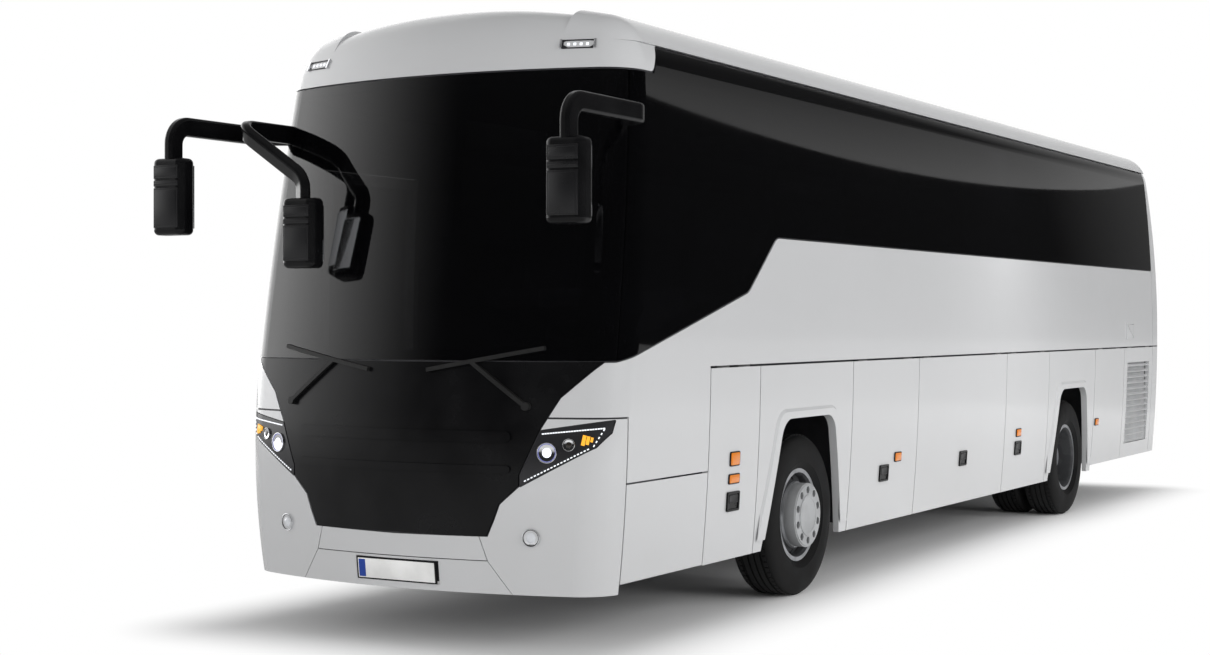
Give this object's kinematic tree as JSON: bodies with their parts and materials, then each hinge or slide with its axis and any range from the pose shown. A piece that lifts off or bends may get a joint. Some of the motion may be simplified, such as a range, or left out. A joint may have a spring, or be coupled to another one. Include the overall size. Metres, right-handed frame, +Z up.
{
  "type": "two-axle touring coach",
  "caption": "Two-axle touring coach with a wraparound windscreen, bonded side glass, luggage flaps, a swing entrance door, steered front wheels and twin rear wheels.",
  "frame": {"origin": "on the ground under the middle of the whole length, mirrors included, on the centre line", "axes": "+X forward, +Y to the vehicle's left, +Z up"},
  "size_m": [12.482, 2.87, 3.5748],
  "materials": {
    "body_paint": "gloss",
    "tinted_glass": "gloss",
    "screen_glass": "gloss",
    "black_trim": "gloss",
    "black_rubber": "matte",
    "clear_lamp": "gloss",
    "red_lamp": "gloss",
    "frame_paint": "satin",
    "floor_cover": "matte",
    "dash_plastic": "matte",
    "seat_cloth": "matte",
    "seat_steel": "satin",
    "engine_iron": "rough",
    "axle_steel": "rough",
    "wheel_steel": "satin",
    "tyre_rubber": "matte"
  },
  "bodies": {
    "coach": {"bumper": "body_paint", "dashboard": "dash_plastic", "door_brackets": "frame_paint", "driver_platform": "floor_cover", "engine": "engine_iron", "front_axle": "axle_steel", "front_frame": "frame_paint", "front_lamps": "clear_lamp", "front_mask": "black_trim", "left_glass": "tinted_glass", "left_side_frame": "frame_paint", "left_side_panel": "body_paint", "luggage_hold": "frame_paint", "luggage_racks": "dash_plastic", "mirrors": "black_trim", "rear_axle": "axle_steel", "rear_frame": "frame_paint", "rear_shell": "body_paint", "rear_window": "tinted_glass", "right_glass": "tinted_glass", "right_side_frame": "frame_paint", "right_side_panel": "body_paint", "roof": "body_paint", "roof_frame": "frame_paint", "saloon_floor": "floor_cover", "seat_backs": "seat_cloth", "seat_cushions": "seat_cloth", "seat_frames": "seat_steel", "skirt_panels": "body_paint", "tail_lamps": "red_lamp", "underframe": "frame_paint", "wheel_housings": "frame_paint", "windscreen": "screen_glass", "wipers": "black_rubber"},
    "engine_lid": {"engine_lid": "body_paint"},
    "front_door_arm": {"front_door_arm": "frame_paint"},
    "front_door": {"front_door": "body_paint", "front_door_glass": "tinted_glass"},
    "steering_wheel": {"steering_wheel": "dash_plastic"},
    "left_knuckle": {"left_knuckle": "axle_steel"},
    "right_knuckle": {"right_knuckle": "axle_steel"},
    "front_left_wheel": {"front_left_rim": "wheel_steel", "front_left_tyre": "tyre_rubber"},
    "front_right_wheel": {"front_right_rim": "wheel_steel", "front_right_tyre": "tyre_rubber"},
    "rear_left_wheels": {"rear_left_rims": "wheel_steel", "rear_left_tyres": "tyre_rubber"},
    "rear_right_wheels": {"rear_right_rims": "wheel_steel", "rear_right_tyres": "tyre_rubber"},
    "left_flap_1": {"left_flap_1": "body_paint"},
    "left_flap_2": {"left_flap_2": "body_paint"},
    "left_flap_3": {"left_flap_3": "body_paint"},
    "left_flap_4": {"left_flap_4": "body_paint"},
    "left_flap_5": {"left_flap_5": "body_paint"},
    "left_flap_6": {"left_flap_6": "body_paint"},
    "right_flap_2": {"right_flap_2": "body_paint"},
    "right_flap_3": {"right_flap_3": "body_paint"},
    "right_flap_4": {"right_flap_4": "body_paint"},
    "right_flap_5": {"right_flap_5": "body_paint"},
    "right_flap_6": {"right_flap_6": "body_paint"}
  },
  "joints": [
    {"name": "left_flap_1_hinge", "type": "hinge", "parent": "coach", "child": "left_flap_1", "pos_m": [0, 1.2723, 1.51], "axis": [1, 0, 0], "range_deg": [0, 90]},
    {"name": "left_flap_2_hinge", "type": "hinge", "parent": "coach", "child": "left_flap_2", "pos_m": [0, 1.2723, 1.51], "axis": [1, 0, 0], "range_deg": [0, 90]},
    {"name": "left_flap_3_hinge", "type": "hinge", "parent": "coach", "child": "left_flap_3", "pos_m": [0, 1.2723, 1.51], "axis": [1, 0, 0], "range_deg": [0, 90]},
    {"name": "left_flap_4_hinge", "type": "hinge", "parent": "coach", "child": "left_flap_4", "pos_m": [0, 1.2723, 1.51], "axis": [1, 0, 0], "range_deg": [0, 90]},
    {"name": "left_flap_5_hinge", "type": "hinge", "parent": "coach", "child": "left_flap_5", "pos_m": [0, 1.2723, 1.51], "axis": [1, 0, 0], "range_deg": [0, 90]},
    {"name": "left_flap_6_hinge", "type": "hinge", "parent": "coach", "child": "left_flap_6", "pos_m": [0, 1.2723, 1.51], "axis": [1, 0, 0], "range_deg": [0, 90]},
    {"name": "right_flap_2_hinge", "type": "hinge", "parent": "coach", "child": "right_flap_2", "pos_m": [0, -1.2723, 1.51], "axis": [-1, 0, 0], "range_deg": [0, 90]},
    {"name": "right_flap_3_hinge", "type": "hinge", "parent": "coach", "child": "right_flap_3", "pos_m": [0, -1.2723, 1.51], "axis": [-1, 0, 0], "range_deg": [0, 90]},
    {"name": "right_flap_4_hinge", "type": "hinge", "parent": "coach", "child": "right_flap_4", "pos_m": [0, -1.2723, 1.51], "axis": [-1, 0, 0], "range_deg": [0, 90]},
    {"name": "right_flap_5_hinge", "type": "hinge", "parent": "coach", "child": "right_flap_5", "pos_m": [0, -1.2723, 1.51], "axis": [-1, 0, 0], "range_deg": [0, 90]},
    {"name": "right_flap_6_hinge", "type": "hinge", "parent": "coach", "child": "right_flap_6", "pos_m": [0, -1.2723, 1.51], "axis": [-1, 0, 0], "range_deg": [0, 90]},
    {"name": "engine_lid_hinge", "type": "hinge", "parent": "coach", "child": "engine_lid", "pos_m": [-6.238, 0, 1.72], "axis": [0, 1, 0], "range_deg": [0, 80]},
    {"name": "door_arm_swing", "type": "hinge", "parent": "coach", "child": "front_door_arm", "pos_m": [4.86, -1.1499, 1], "axis": [0, 0, 1], "range_deg": [0, 160]},
    {"name": "door_leaf_turn", "type": "hinge", "parent": "front_door_arm", "child": "front_door", "pos_m": [4.36, -1.1499, 1], "axis": [0, 0, 1], "range_deg": [-160, 0]},
    {"name": "left_steer", "type": "hinge", "parent": "coach", "child": "left_knuckle", "pos_m": [3.06, 0.96, 0.522], "axis": [0, 0, 1], "range_deg": [-45, 45]},
    {"name": "right_steer", "type": "hinge", "parent": "coach", "child": "right_knuckle", "pos_m": [3.06, -0.96, 0.522], "axis": [0, 0, 1], "range_deg": [-45, 45]},
    {"name": "steering_wheel_turn", "type": "hinge", "parent": "coach", "child": "steering_wheel", "pos_m": [4.83, 0.62, 1.64], "axis": [-0.5736, 0, 0.8192], "range_deg": [-810, 810]},
    {"name": "front_left_wheel_spin", "type": "hinge", "parent": "left_knuckle", "child": "front_left_wheel", "pos_m": [3.06, 1.075, 0.522], "axis": [0, 1, 0], "continuous": true},
    {"name": "front_right_wheel_spin", "type": "hinge", "parent": "right_knuckle", "child": "front_right_wheel", "pos_m": [3.06, -1.075, 0.522], "axis": [0, 1, 0], "continuous": true},
    {"name": "rear_left_wheels_spin", "type": "hinge", "parent": "coach", "child": "rear_left_wheels", "pos_m": [-2.94, 1.075, 0.522], "axis": [0, 1, 0], "continuous": true},
    {"name": "rear_right_wheels_spin", "type": "hinge", "parent": "coach", "child": "rear_right_wheels", "pos_m": [-2.94, -1.075, 0.522], "axis": [0, 1, 0], "continuous": true}
  ],
  "couplings": [
    {"joint": "door_leaf_turn", "follows": "door_arm_swing", "ratio": -1},
    {"joint": "right_steer", "follows": "left_steer", "ratio": 1},
    {"joint": "steering_wheel_turn", "follows": "left_steer", "ratio": 18}
  ]
}
